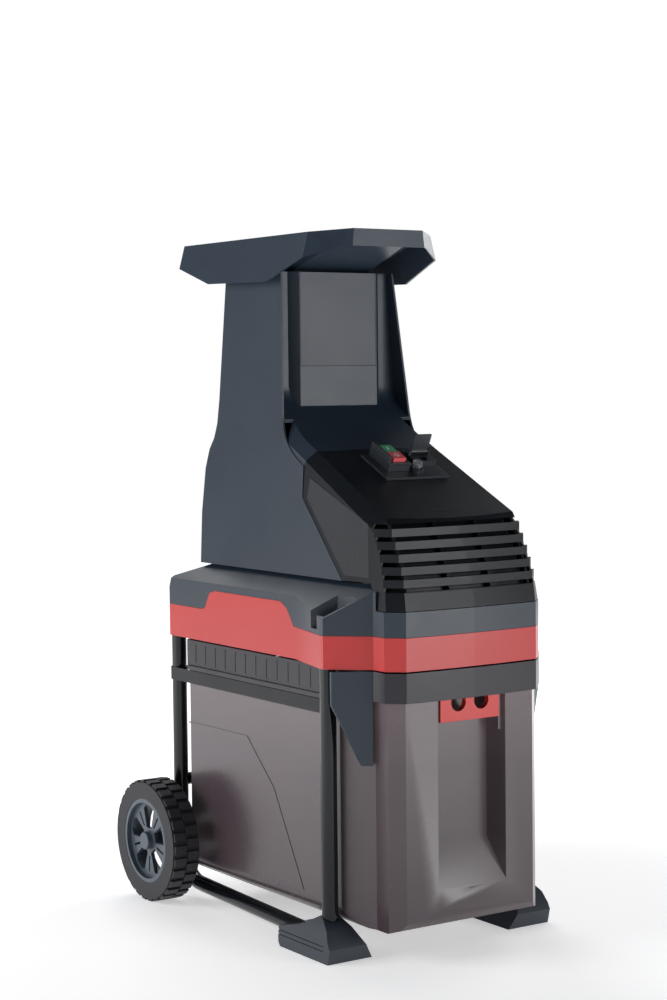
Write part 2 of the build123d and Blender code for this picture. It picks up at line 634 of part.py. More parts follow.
def build_hopper():
    """Funnel with flared side wings and a slightly crowned rim."""
    low_z = HEIGHT - SKIRT_DROP
    tip_z = HEIGHT - 38
    outer = loft([plan_face(rim_plan(), HEIGHT), plan_face(rim_plan(SKIRT_FLARE), low_z)], ruled=True)
    inner = loft([plan_face(rim_plan(-WALL), HEIGHT + 1), plan_face(rim_plan(SKIRT_FLARE - WALL), low_z - 1)],
                 ruled=True)
    skirt = outer - inner
    skirt += prism(rim_plan(), HEIGHT - WALL - RIM_CROWN, HEIGHT)
    skirt -= prism(rim_plan(-5 - WALL), HEIGHT - BOX_CORNER_R, HEIGHT + 1)
    under = [(RIM_FRONT_Y - 30, HEIGHT - 24), (RIM_FRONT_Y + 8, HEIGHT - 24), (RIM_SIDE_Y, tip_z), (9, low_z + 0.5),
             (170, low_z + 4), (RIM_CORNER_Y, tip_z), (RIM_REAR_Y + 30, tip_z), (RIM_REAR_Y + 30, BASE_Z),
             (RIM_FRONT_Y - 30, BASE_Z)]
    skirt -= side_prism(under, -BIG, BIG)
    throat_z = TOWER_TOP_Z + SEAM
    inset_y = 14
    throat = both_sides([(CHUTE_X, CHUTE_REAR_Y), (CHUTE_X + 0.01, CHUTE_REAR_Y - inset_y),
                         (CHUTE_X + 0.01, CHUTE_FRONT_Y + inset_y), (CHUTE_X, CHUTE_FRONT_Y)])
    rim_z = HEIGHT - WALL
    cone = loft([plan_face(rim_plan(-1), rim_z), plan_face(offset_plan(throat, WALL), throat_z)], ruled=True)
    bowl = loft([plan_face(rim_plan(-1 - WALL), rim_z + 0.2), plan_face(throat, throat_z - 0.2)], ruled=True)
    crown = (RIM_CROWN, 0, RIM_X - RIM_FACE_X)
    save("hopper", cut_both(cone - bowl + skirt, (RIM_FACE_X, 0, HEIGHT), crown))


def offset_plan(points, grow):
    """Spread a plan outline away from the middle of the chute."""
    mid = (CHUTE_FRONT_Y + CHUTE_REAR_Y) / 2
    return [(x + grow * (1 if x > 0 else -1), y + grow * (1 if y > mid else -1)) for x, y in points]


# ---- motor cover -----------------------------------------------------------------------------------
def lean_at(z):
    """Position between the lip of the cover, 0, and its brow, 1."""
    return (z - COVER_Z) / (COVER_BROW_Z - COVER_Z)


def nose_form(inset=0.0):
    """Bulging front of the cover, carried back to the middle of the machine."""
    levels = [COVER_Z - 30, COVER_Z, 490, 512, 534, 556, COVER_BROW_Z - 10, COVER_BROW_Z + 14, COVER_TOP_Z + 20]
    sections = []
    for z in levels:
        half = [(nose_points(inset, lean_at(z))[0][0], TOWER_REAR_Y)] + nose_points(inset, lean_at(z))[1:]
        sections.append(plan_face(both_sides(half), z))
    return loft(sections, ruled=True)


def cover_solid(grow=0.0, inset=0.0):
    """Outer form of the motor cover, between its seam with the tower and the nose."""
    skin = inset - grow
    drop = inset * 1.12 - grow
    open_by = inset + grow
    front_y = FRONT_Y - 20
    profile = [
        (COVER_TOP_Y + open_by, COVER_TOP_Z - drop), (COVER_BROW_Y - 10, on_slope(COVER_BROW_Y - 10) - drop),
        (front_y, on_slope(COVER_BROW_Y) - 40), (front_y, COVER_Z - open_by),
        (NOSE_BACK_Y - 6 + open_by, COVER_Z - open_by), (NOSE_BACK_Y + 12 + open_by, DECK_Z + 2 - open_by),
        (SEAM_LINE[2][0] + grow, DECK_Z - open_by), (SEAM_LINE[1][0] + grow, SEAM_LINE[1][1]),
        (SEAM_LINE[0][0] + grow, SEAM_LINE[0][1]),
    ]
    body = side_prism(profile, -NOSE_X - 6, NOSE_X + 6)
    body = flank(body, skin) & nose_form(skin)
    return bevel_sides(body, drop)


def louvre(z, height, inset, depth):
    """Ring of the nose between two heights, over its front and bevelled corners only."""
    plan = nose_points(inset, lean_at(z))
    inner = nose_points(inset + depth, lean_at(z))
    side_y = nose_points(0, lean_at(z))[1][1] + 1
    back_y = NOSE_BACK_Y + NOSE_SETBACK + 30
    ring = prism(both_sides([(plan[0][0], back_y)] + plan[1:]), z, z + height)
    ring -= prism(both_sides([(inner[0][0], back_y + 1)] + inner[1:]), z - 1, z + height + 1)
    return ring & block(-BIG, BIG, FRONT_Y - 50, side_y, z - 1, z + height + 1)


def build_cover():
    """Black cover with wrap-round louvres, and the smoked side inserts."""
    outer = cover_solid(grow=-SEAM)
    inner = cover_solid(grow=-SEAM, inset=WALL)
    inner += Pos(0, 0, -6) * inner
    inner += Pos(0, 6, -4) * inner
    shell = outer - inner
    for i in range(LOUVRE_COUNT):
        z = LOUVRE_Z0 + i * LOUVRE_PITCH
        shell -= louvre(z, LOUVRE_H, -8, 20)
        if i < LOUVRE_COUNT - 1:
            blade = louvre(z + LOUVRE_H, LOUVRE_PITCH - LOUVRE_H, SEAM, WALL + 2)
            shell += blade
    ribs = cover_solid(grow=-SEAM, inset=WALL - 1) - cover_solid(grow=-SEAM, inset=WALL + 7)
    for x in (-LOUVRE_RIB_X, LOUVRE_RIB_X):
        shell += ribs & block(x - 2, x + 2, FRONT_Y - 10, COVER_BROW_Y, COVER_Z + 6, COVER_BROW_Z - 6)
    for side in (-1, 1):
        x0, x1 = sorted((side * (NOSE_FACE_X - 6), side * (NOSE_FACE_X - 10)))
        shell += ribs & block(x0, x1, FRONT_Y - 10, COVER_BROW_Y, COVER_Z + 6, COVER_BROW_Z - 6)
    panel = [(COVER_TOP_Y - 6, 634), (COVER_TOP_Y, 607), (COVER_TOP_Y - 98, 508), (NOSE_BACK_Y + 17, 508),
             (NOSE_BACK_Y + 24, 578)]
    outline = side_prism(panel, CREASE_X - 10, NOSE_X + 10)
    insert = flank(outline, 0.5) - flank(outline, 0.5 + SIDE_INSERT_T)
    rebate = flank(outline, -1.0) - flank(outline, 0.7 + SIDE_INSERT_T)
    shell -= rebate
    shell -= mirror_x(rebate)
    save("cover_side_right", insert)
    save("cover_side_left", mirror_x(insert))
    save("motor_cover", largest(shell))


# ---- controls ----------------------------------------------------------------------------------------
PANEL_PLANE = Plane(origin=(0, COVER_TOP_Y - PLATE_OFFSET * cos(SLOPE), COVER_TOP_Z - PLATE_OFFSET * sin(SLOPE)),
                    x_dir=(1, 0, 0), z_dir=(0, -sin(SLOPE), cos(SLOPE)))
KEYS = (("stop_button", -2.0, 5.0), ("start_button", 21.0, 3.5))   # node, middle along the slope, rise
KEY_HALF_U = 9.8
HINGE_W = PLATE_T + SEAT_H + FLAP_HUB_R + SLIDE_GAP


def on_panel(x0, x1, u0, u1, w0, w1):
    """Block on the sloping cover top: x across, u up the slope, w out of it."""
    return PANEL_PLANE * block(x0, x1, u0, u1, w0, w1)


def panel_rod(x, u, w0, w1, r):
    """Round bar standing out of the sloping cover top."""
    return PANEL_PLANE * rod_z(x, u, w0, w1, r)


def hinge_rod(x0, x1, r):
    """Round bar on the hinge line of the inlet flap."""
    return PANEL_PLANE * rod_x(x0, x1, FLAP_U, HINGE_W, r)


def build_switch():
    """Switch box with its guard and the two keys in their wells."""
    top = PLATE_T + SWITCH_H
    foot_w = PLATE_T + FACE_GAP
    box = on_panel(SWITCH_X0, SWITCH_X1, SWITCH_U0, SWITCH_U1, foot_w, top)
    box += on_panel(SWITCH_X0, SWITCH_X0 + 5, SWITCH_U0 + 4, SWITCH_U1, top - 1, top + GUARD_H)
    for name, u, rise in KEYS:
        well_x = KEY_HALF_X + SLIDE_GAP
        well_u = KEY_HALF_U + SLIDE_GAP
        box -= on_panel(KEY_X - well_x, KEY_X + well_x, u - well_u, u + well_u, PLATE_T + KEY_FOOT, top + 1)
        key_foot = PLATE_T + KEY_FOOT + BUTTON_TRAVEL + SLIDE_GAP
        save(name, on_panel(KEY_X - KEY_HALF_X, KEY_X + KEY_HALF_X, u - KEY_HALF_U, u + KEY_HALF_U, key_foot,
                            top + rise))
    save("switch_box", box)


def build_inlet():
    """Inlet socket and the flap that folds down over it."""
    seat_top = PLATE_T + SEAT_H
    seat = on_panel(SEAT_X0, SEAT_X1, SEAT_U0, SEAT_U1, PLATE_T + FACE_GAP, seat_top)
    seat -= panel_rod(INLET_X, INLET_U, PLATE_T + 2, seat_top + 1, INLET_R)
    for x0, x1 in ((SEAT_X0, FLAP_X0 - SEAM), (FLAP_X1 + SEAM, SEAT_X1)):
        seat += on_panel(x0, x1, FLAP_U - 4, FLAP_U + 4, seat_top - 1, HINGE_W + 4)
    save("inlet_socket", seat - hinge_rod(SEAT_X0 - 1, SEAT_X1 + 1, FLAP_PIN_R))
    save("flap_pin", hinge_rod(SEAT_X0 + 0.5, SEAT_X1 - 0.5, FLAP_PIN_R))
    half_t = FLAP_T / 2
    flap = on_panel(FLAP_X0, FLAP_X1, FLAP_U - half_t, FLAP_U + half_t, HINGE_W, HINGE_W + FLAP_L)
    flap += hinge_rod(FLAP_X0, FLAP_X1, FLAP_HUB_R)
    save("inlet_flap", flap - hinge_rod(SEAT_X0, SEAT_X1, FLAP_PIN_R + RUN_FIT))


def build_controls():
    """Everything on the sloping top of the motor cover."""
    half = PLATE_L / 2
    save("switch_plate", on_panel(PLATE_X0, PLATE_X1, -half, half, FACE_GAP, PLATE_T))
    build_switch()
    build_inlet()
    cap_foot = PLATE_T + RESET_TRAVEL + SLIDE_GAP
    save("reset_button", panel_rod(RESET_X, RESET_U, cap_foot, cap_foot + 12, RESET_R))
    collar = panel_rod(RESET_X, RESET_U, PLATE_T + FACE_GAP, PLATE_T + 8, RESET_R + 2.5)
    save("reset_collar", collar - panel_rod(RESET_X, RESET_U, PLATE_T - 1, PLATE_T + 9, RESET_R + SLIDE_GAP))


# ---- collection box ----------------------------------------------------------------------------------
RIM_Z1 = BASE_Z - SLIDE_GAP - 1.5
RIM_Z0 = RIM_Z1 - RIM_BAND_H
BOX_FRONT_Y = FRONT_Y + BOX_INSET


def box_plan(inset=0.0):
    """Closed plan of the box body below its rim band."""
    half = [
        (BOX_SIDE_X - 14 - inset, BOX_REAR_Y - inset), (BOX_SIDE_X - inset, BOX_REAR_Y - 14 - inset),
        (BOX_SIDE_X - inset, BOX_SHOULDER_Y),
        (NOSE_X - BOX_INSET - inset, NOSE_BACK_Y + BOX_INSET + inset * 0.5),
    ]
    return both_sides(half + nose_points(BOX_INSET + inset)[1:])


def quarter(edge, floor, r, direction):
    """Corner points of a section to cut away so that the lower edge becomes round."""
    steps = 5
    points = [(edge + direction * 5, floor + r), (edge + direction * 5, floor - 5), (edge - direction * r, floor - 5)]
    for k in range(steps + 1):
        a = pi / 2 * k / steps
        points.append((edge - direction * r * (1 - sin(a)), floor + r * (1 - cos(a))))
    return points


def box_body(inset=0.0):
    """Box form with rounded lower edges; the inner form reaches past the top so that the box is open."""
    z0 = BOX_FLOOR_Z + inset
    body = prism(box_plan(inset), z0, RIM_Z0 + min(inset, 1))
    r = BOX_CORNER_R - inset
    side = BOX_SIDE_X - inset
    body -= front_prism(quarter(side, z0, r, 1), -BIG, BIG)
    body -= front_prism(quarter(-side, z0, r, -1), -BIG, BIG)
    body -= side_prism(quarter(BOX_REAR_Y - inset, z0, r, 1), -BIG, BIG)
    front = BOX_FRONT_Y + inset
    chin = [(front - 20, z0 - 5), (front + 26, z0 - 5), (front + 26, z0), (front + 11, z0 + 5),
            (front + 3, z0 + 16), (front, z0 + 34), (front - 20, z0 + 34)]
    return body - side_prism(chin, -BIG, BIG)


def recess_cut(inset=0.0):
    """Front recess of the box: slanted sides, floor running out to a point near the bottom."""
    depth_y = BOX_FRONT_Y + RECESS_D + inset
    wide = RECESS_X + inset
    narrow = RECESS_FLOOR_X + inset
    plan = [(-wide, FRONT_Y - 5), (-narrow, depth_y), (narrow, depth_y), (wide, FRONT_Y - 5)]
    run_out = [(FRONT_Y - 10, BOX_FLOOR_Z + 20), (depth_y + 1, BOX_FLOOR_Z + 110 - inset), (depth_y + 1, BIG),
               (FRONT_Y - 10, BIG)]
    return prism(plan, BOX_FLOOR_Z - 5, RIM_Z0 + 2) & side_prism(run_out, -BIG, BIG)


def band_plan(inset=0.0):
    """Closed plan of the rim band."""
    half = [
        (BOX_SIDE_X - 10 - inset, BOX_REAR_Y + 2 - inset), (BOX_SIDE_X + 2 - inset, BOX_REAR_Y - 10 - inset),
        (BOX_SIDE_X + 2 - inset, BOX_SHOULDER_Y), (NOSE_X - inset, NOSE_BACK_Y + 3 + inset * 0.5),
    ]
    return both_sides(half + nose_points(inset)[1:])


def build_box():
    """Collection box, rim band, wings and lock."""
    lock_front = BOX_FRONT_Y + LOCK_SET
    shell = box_body() - recess_cut() - (box_body(BOX_WALL) - recess_cut(BOX_WALL))
    for side in (-1, 1):
        x0, x1 = sorted((side * (LOCK_X + SLIDE_GAP), side * (LOCK_X + 5)))
        shell += block(x0, x1, lock_front + 3, BOX_FRONT_Y + RECESS_D + 1, RIM_Z0 - LOCK_H - LOCK_TRAVEL - 4, RIM_Z0)
    save("collection_box", largest(shell))
    band = prism(band_plan(), RIM_Z0 + SEAM, RIM_Z1) - prism(band_plan(BOX_WALL), RIM_Z0, RIM_Z1 + 1)
    for side in (-1, 1):
        x0, x1 = sorted((side * (BOX_SIDE_X + 0.2), side * (FRONT_LEG_X - TUBE_R - SLIDE_GAP)))
        band += block(x0, x1, FRONT_LEG_Y + 12, BOX_REAR_Y - 14, RAIL_TOP_Z + SLIDE_GAP, RIM_Z0 + SEAM + 2)
    save("box_rim", band)
    wing_x = FRONT_LEG_X + TUBE_R
    wing_plan = [(NOSE_X + 0.5, NOSE_BACK_Y + 2), (wing_x, BULGE_Y - 13), (wing_x, BULGE_Y - 9),
                 (NOSE_X + 0.5, NOSE_BACK_Y + 7)]
    wing = prism(wing_plan, WING_LOW_Z, RIM_Z1)
    corner = [(wing_x + 9, WING_LOW_Z - 22), (NOSE_X + 12, WING_LOW_Z - 22), (NOSE_X + 12, WING_LOW_Z),
              (wing_x + 1, RIM_Z0 - 2), (wing_x + 9, RIM_Z0 - 2)]
    wing -= front_prism(corner, -BIG, 0)
    wing -= prism(band_plan(), RIM_Z0, RIM_Z1 + 1)
    wing = largest(wing - prism(box_plan(-0.1), WING_LOW_Z - 60, RIM_Z0 + 1))
    save("box_wing_right", wing)
    save("box_wing_left", mirror_x(wing))
    lock = block(-LOCK_X, LOCK_X, lock_front, lock_front + LOCK_T, RIM_Z0 - LOCK_H, RIM_Z0 - 1)
    for x in (-SCOOP_X, SCOOP_X):
        lock -= rod_y(x, lock_front - 1, lock_front + LOCK_T + 1, RIM_Z0 - SCOOP_R / 2, SCOOP_R)
    save("box_lock", lock)


# ---- drive -------------------------------------------------------------------------------------------
def gear(teeth, phase, y0, face, bore):
    """Spur gear about Y; phase is the direction of one tooth in the XZ plane, in radians."""
    pitch_r = GEAR_M * teeth / 2
    tip_r = pitch_r + 0.60 * GEAR_M
    root_r = pitch_r - 0.95 * GEAR_M
    step = 2 * pi / teeth
    points = []
    for i in range(teeth):
        a = phase + i * step
        for r, da in ((root_r, -0.30), (tip_r, -0.11), (tip_r, 0.11), (root_r, 0.30)):
            points.append((r * cos(a + da * step), r * sin(a + da * step)))
    body = front_prism(points, y0, y0 + face)
    return body - rod_y(0, y0 - 1, y0 + face + 1, 0, bore)


def triangle_apex(ax, az, bx, bz, ra, rb):
    """Point at distance ra from A and rb from B, on the +X side."""
    dx = bx - ax
    dz = bz - az
    d = sqrt(dx * dx + dz * dz)
    along = (ra * ra - rb * rb + d * d) / (2 * d)
    off = sqrt(ra * ra - along * along)
    return ax + along * dx / d - off * dz / d, az + along * dz / d + off * dx / d


STAGE_1 = GEAR_M * (PINION_T + WHEEL1_T) / 2
STAGE_2 = GEAR_M * (PINION2_T + DRUM_GEAR_T) / 2
LAY_X, LAY_Z = triangle_apex(MOTOR_X, MOTOR_Z, DRUM_X, DRUM_Z, STAGE_1, STAGE_2)
TO_LAY = atan2(LAY_Z - MOTOR_Z, LAY_X - MOTOR_X)
TO_DRUM = atan2(DRUM_Z - LAY_Z, DRUM_X - LAY_X)
GEAR_Y1 = DRUM_FRONT_Y - 26
SECOND_Y = GEAR_Y1 - GEAR_FACE
FIRST_Y = SECOND_Y - GEAR_GAP - GEAR_FACE
CASE_Y0 = FIRST_Y - 8
DRUM_REAR_Y = DRUM_FRONT_Y + DRUM_L
ADJUST_Y = (DRUM_FRONT_Y + DRUM_REAR_Y) / 2


def build_gears():
    """Two-stage gear train between the motor and the drum."""
    save("motor_pinion", Pos(MOTOR_X, 0, MOTOR_Z) * gear(PINION_T, TO_LAY, FIRST_Y, GEAR_FACE, PINION_BORE_R))
    wheel = gear(WHEEL1_T, TO_LAY + pi + pi / WHEEL1_T, FIRST_Y, GEAR_FACE, SHAFT_R)
    for i in range(6):
        wheel -= Rot(0, 60 * i, 0) * rod_y(38, FIRST_Y - 1, FIRST_Y + GEAR_FACE + 1, 0, 11)
    save("intermediate_gear", Pos(LAY_X, 0, LAY_Z) * wheel)
    lay = gear(PINION2_T, TO_DRUM, SECOND_Y, GEAR_FACE, 0.01)
    lay += rod_y(0, FIRST_Y - 14, FIRST_Y + GEAR_FACE, 0, SHAFT_R)
    lay += rod_y(0, SECOND_Y - GEAR_GAP - 1, SECOND_Y + 1, 0, SHAFT_R)
    lay += rod_y(0, GEAR_Y1 - 1, GEAR_Y1 + 12, 0, SHAFT_R)
    save("layshaft", Pos(LAY_X, 0, LAY_Z) * largest(lay))
    big = gear(DRUM_GEAR_T, TO_DRUM + pi + pi / DRUM_GEAR_T, SECOND_Y, GEAR_FACE, SHAFT_R)
    save("drum_gear", Pos(DRUM_X, 0, DRUM_Z) * big)


def case_form(y0, y1, grow):
    """Outline of the gearbox around its three shafts."""
    body = rod_y(LAY_X, y0, y1, LAY_Z, GEAR_M * WHEEL1_T / 2 + 5 + grow)
    body += rod_y(DRUM_X, y0, y1, DRUM_Z, GEAR_M * DRUM_GEAR_T / 2 + 5 + grow)
    return body + rod_y(MOTOR_X, y0, y1, MOTOR_Z, 20 + grow)


def build_gearbox():
    """Gearbox case with its three shaft bores."""
    case_y1 = GEAR_Y1 + 5
    case = case_form(CASE_Y0, case_y1, CASE_T) - case_form(CASE_Y0 + CASE_T, case_y1 - CASE_T, 0)
    for x, z, r in ((MOTOR_X, MOTOR_Z, ROTOR_SHAFT_R), (LAY_X, LAY_Z, SHAFT_R), (DRUM_X, DRUM_Z, SHAFT_R)):
        case -= rod_y(x, -BIG, BIG, z, r + RUN_FIT)
    save("gearbox_case", case)


def build_drum():
    """Crushing drum, its shaft and its two bearings."""
    save("drum_shaft", rod_y(DRUM_X, SECOND_Y - 2, DRUM_REAR_Y + 22, DRUM_Z, SHAFT_R))
    step = 2 * pi / DRUM_BLADES
    points = []
    for i in range(DRUM_BLADES):
        for drop, part in ((0, 0.0), (2, 0.14), (11, 0.3), (13, 0.62), (11, 0.96)):
            a = step * (i + part)
            points.append(((DRUM_R - drop) * cos(a), (DRUM_R - drop) * sin(a)))
    drum = front_prism(points, DRUM_FRONT_Y, DRUM_REAR_Y)
    drum -= rod_y(0, DRUM_FRONT_Y - 1, DRUM_REAR_Y + 1, 0, SHAFT_R)
    save("crushing_drum", Pos(DRUM_X, 0, DRUM_Z) * drum)
    bearings = []
    for y0, y1 in ((DRUM_FRONT_Y - 20, DRUM_FRONT_Y - 8), (DRUM_REAR_Y + 6, DRUM_REAR_Y + 20)):
        ring = rod_y(DRUM_X, y0, y1, DRUM_Z, BEARING_R)
        bearings.append(ring - rod_y(DRUM_X, y0 - 1, y1 + 1, DRUM_Z, SHAFT_R + RUN_FIT))
    save("drum_bearings", Compound(children=bearings))


def motor_rod(y0, y1, r):
    """Round bar on the motor's axis."""
    return rod_y(MOTOR_X, y0, y1, MOTOR_Z, r)


def build_motor():
    """Motor can, stator, rotor and cooling fan."""
    y1 = CASE_Y0
    y0 = y1 - MOTOR_L
    shaft_hole = motor_rod(y0 - 20, y1 + 20, ROTOR_SHAFT_R + RUN_FIT)
    can = motor_rod(y0 + 16, y1, MOTOR_R) - motor_rod(y0 + 15, y1 - 5, MOTOR_R - WALL)
    save("motor_can", can - shaft_hole)
    save("motor_end_shield", motor_rod(y0 + 10, y0 + 16, MOTOR_R) - shaft_hole)
    stator = motor_rod(y0 + 34, y1 - 24, MOTOR_R - WALL)
    save("stator", stator - motor_rod(y0 + 33, y1 - 23, ROTOR_R + ROTOR_GAP))
    core = motor_rod(y0 + 34, y1 - 24, ROTOR_R)
    save("rotor_core", core - motor_rod(y0 + 33, y1 - 23, ROTOR_SHAFT_R))
    arbor = motor_rod(y0 - 12, FIRST_Y, ROTOR_SHAFT_R)
    save("rotor_shaft", arbor + motor_rod(FIRST_Y - 1, FIRST_Y + GEAR_FACE + 2, PINION_BORE_R))
    fan = motor_rod(y0 - 8, y0 + 6, 16)
    blade = block(14, 42, -6, 6, -1.2, 1.2)
    for i in range(FAN_BLADES):
        fan += Pos(MOTOR_X, y0 - 1, MOTOR_Z) * Rot(0, 360 * i / FAN_BLADES, 0) * blade
    save("cooling_fan", fan - motor_rod(y0 - 9, y0 + 7, ROTOR_SHAFT_R))
    save("capacitor", rod_y(-85, -232, -166, 490, 16))
    save("interlock_switch", block(-14, 14, FRONT_Y + 16, FRONT_Y + 34, BASE_Z + WALL + 2, BASE_Z + WALL + 26))


def build_adjuster():
    """Pressure plate with the screw and knob that set its distance from the drum."""
    plate_x0 = DRUM_X + DRUM_R + PRESS_TRAVEL + 2
    plate_x1 = plate_x0 + PRESS_PLATE_T
    save("pressure_plate", block(plate_x0, plate_x1, DRUM_FRONT_Y + 2, DRUM_REAR_Y - 2, DRUM_Z - 26, DRUM_Z + 22))
    knob_x0 = HOUSE_X + 1.5
    screw_end = knob_x0 + KNOB_L * 0.6
    save("adjusting_screw", rod_x(plate_x1, screw_end, ADJUST_Y, DRUM_Z, SCREW_R))
    inner_x = HOUSE_X - WALL - 0.2
    guide = block(inner_x - 14, inner_x, ADJUST_Y - 12, ADJUST_Y + 12, DRUM_Z - 12, DRUM_Z + 12)
    save("adjuster_guide", guide - rod_x(0, BIG, ADJUST_Y, DRUM_Z, SCREW_R + RUN_FIT))
    knob = rod_x(knob_x0, knob_x0 + KNOB_L, ADJUST_Y, DRUM_Z, KNOB_R)
    flute = rod_x(knob_x0 + 3, knob_x0 + KNOB_L + 1, 0, KNOB_R + 2.2, 4)
    for i in range(12):
        knob -= Pos(0, ADJUST_Y, DRUM_Z) * Rot(30 * i, 0, 0) * flute
    save("adjusting_knob", knob - rod_x(knob_x0 - 1, screw_end + SLIDE_GAP, ADJUST_Y, DRUM_Z, SCREW_R + RUN_FIT))
    for name in ("housing_base", "housing_upper"):
        parts[name] = parts[name] - rod_x(HOUSE_X - 10, HOUSE_X + 5, ADJUST_Y, DRUM_Z, SCREW_R + SLIDE_GAP)


build_stand()
build_wheels()
build_housing()
build_tower()
build_hopper()
build_cover()
build_controls()
build_box()
build_gears()
build_gearbox()
build_drum()
build_motor()
build_adjuster()

os.makedirs("parts", exist_ok=True)
for old in os.listdir("parts"):
    os.remove(os.path.join("parts", old))
for name, shape in parts.items():
    export_step(shape, "parts/" + name + ".step")
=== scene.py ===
"""Looks of the electric garden chipper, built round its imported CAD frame. Metres, +Z up, front faces -Y."""
import json
import math
import bmesh
import bpy
from mathutils import Matrix, Vector

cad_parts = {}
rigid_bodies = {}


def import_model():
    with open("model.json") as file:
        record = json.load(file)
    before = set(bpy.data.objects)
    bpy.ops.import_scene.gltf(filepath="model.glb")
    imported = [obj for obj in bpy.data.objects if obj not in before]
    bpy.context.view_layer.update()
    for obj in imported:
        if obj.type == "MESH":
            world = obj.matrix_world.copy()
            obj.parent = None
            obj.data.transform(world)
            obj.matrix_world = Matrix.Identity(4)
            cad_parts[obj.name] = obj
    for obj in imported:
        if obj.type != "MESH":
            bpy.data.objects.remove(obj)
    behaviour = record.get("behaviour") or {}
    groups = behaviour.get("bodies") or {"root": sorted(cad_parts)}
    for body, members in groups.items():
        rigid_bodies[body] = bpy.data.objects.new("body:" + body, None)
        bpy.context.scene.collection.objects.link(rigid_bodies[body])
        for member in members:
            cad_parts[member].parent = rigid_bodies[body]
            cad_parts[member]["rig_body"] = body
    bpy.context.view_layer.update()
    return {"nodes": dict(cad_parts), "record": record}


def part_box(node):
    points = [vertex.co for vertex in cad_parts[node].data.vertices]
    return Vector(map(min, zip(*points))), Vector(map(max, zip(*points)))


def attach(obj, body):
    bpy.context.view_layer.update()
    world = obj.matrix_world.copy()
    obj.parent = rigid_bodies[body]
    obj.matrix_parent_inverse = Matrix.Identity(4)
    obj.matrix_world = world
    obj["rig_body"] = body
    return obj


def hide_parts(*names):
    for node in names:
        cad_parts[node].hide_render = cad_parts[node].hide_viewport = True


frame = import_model()
MM = 0.001
ACROSS = Vector((1, 0, 0))
UP = Vector((0, 0, 1))
WHITE = (1.0, 1.0, 1.0, 1.0)


# ---- small tools ----------------------------------------------------------------------------------
def rgb(code):
    """Linear colour of an sRGB hex code."""
    values = [int(code[i:i + 2], 16) / 255 for i in (0, 2, 4)]
    return [v / 12.92 if v <= 0.04045 else ((v + 0.055) / 1.055) ** 2.4 for v in values] + [1.0]


def shade(colour, factor):
    """A colour made lighter or darker."""
    return [min(1.0, c * factor) for c in colour[:3]] + [1.0]


def body_of(node):
    """The CAD body that a node belongs to."""
    return frame["nodes"][node]["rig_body"]


def slot_of(node):
    """The record's material slot of a node."""
    return next(s["material_slot"] for s in frame["record"]["subparts"] if s["node"] == node)


def add_object(name, bm, mat):
    """Turn a bmesh into an object with one material."""
    mesh = bpy.data.meshes.new(name)
    bm.to_mesh(mesh)
    bm.free()
    mesh.materials.append(mat)
    obj = bpy.data.objects.new(name, mesh)
    bpy.context.scene.collection.objects.link(obj)
    return obj


def add_piece(name, bm, node, slot):
    """A finished piece that rides with a CAD node and has the material of a slot."""
    piece = add_object(name, bm, MAT[slot])
    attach(piece, body_of(node))
    return piece


# ---- material tools -------------------------------------------------------------------------------
# A Mix node's two colour inputs and its colour output come at these places among its sockets.
MIX_A, MIX_B, MIX_OUT = 6, 7, 2


def new_material(name):
    """Empty node material with a Principled shader."""
    mat = bpy.data.materials.new(name)
    mat.use_nodes = True
    nodes = mat.node_tree.nodes
    nodes.clear()
    out = nodes.new("ShaderNodeOutputMaterial")
    shader = nodes.new("ShaderNodeBsdfPrincipled")
    mat.node_tree.links.new(shader.outputs[0], out.inputs[0])
    return mat, nodes, mat.node_tree.links, shader


def put(node, values):
    """Set a node's sockets by name."""
    for socket, value in values.items():
        node.inputs[socket].default_value = value


def noise(nodes, links, coord, scale, detail=3.0, rough=0.5):
    """Noise texture; the scale is in cells per metre."""
    texture = nodes.new("ShaderNodeTexNoise")
    put(texture, {"Scale": scale, "Detail": detail, "Roughness": rough})
    links.new(coord, texture.inputs["Vector"])
    return texture.outputs["Fac"]


def ramp(nodes, links, fac, stops):
    """Colour ramp with (position, colour) stops."""
    node = nodes.new("ShaderNodeValToRGB")
    elements = node.color_ramp.elements
    elements[0].position, elements[0].color = stops[0]
    elements[1].position, elements[1].color = stops[-1]
    for position, colour in stops[1:-1]:
        elements.new(position).color = colour
    links.new(fac, node.inputs["Fac"])
    return node.outputs["Color"]


def remap(nodes, links, value, low, high, start=0.0, end=1.0, curve="LINEAR"):
    """Map start..end to low..high, held at both ends."""
    node = nodes.new("ShaderNodeMapRange")
    node.interpolation_type = curve
    put(node, {"From Min": start, "From Max": end, "To Min": low, "To Max": high})
    links.new(value, node.inputs["Value"])
    return node.outputs["Result"]


def mix(nodes, links, fac, colour, other):
    """Mix a linked colour with another one, linked or plain."""
    node = nodes.new("ShaderNodeMix")
    node.data_type = "RGBA"
    links.new(fac, node.inputs["Factor"])
    links.new(colour, node.inputs[MIX_A])
    if isinstance(other, list):
        node.inputs[MIX_B].default_value = other
    else:
        links.new(other, node.inputs[MIX_B])
    return node.outputs[MIX_OUT]


def bump(nodes, links, shader, height, strength, depth):
    """Raise and sink the shader's surface."""
    node = nodes.new("ShaderNodeBump")
    put(node, {"Strength": strength, "Distance": depth})
    links.new(height, node.inputs["Height"])
    links.new(node.outputs["Normal"], shader.inputs["Normal"])


# ---- materials ------------------------------------------------------------------------------------
TONE_SCALE = 5.0
SPECK_SCALE = 420.0
GLOSS_SCALE = 14.0
GLOSS_SWING = 0.07
# Pointiness range over which sharp edges are lightened, partly as wear and partly as a painted highlight.
WEAR_HIGHLIGHT_START, WEAR_HIGHLIGHT_FULL = 0.52, 0.60


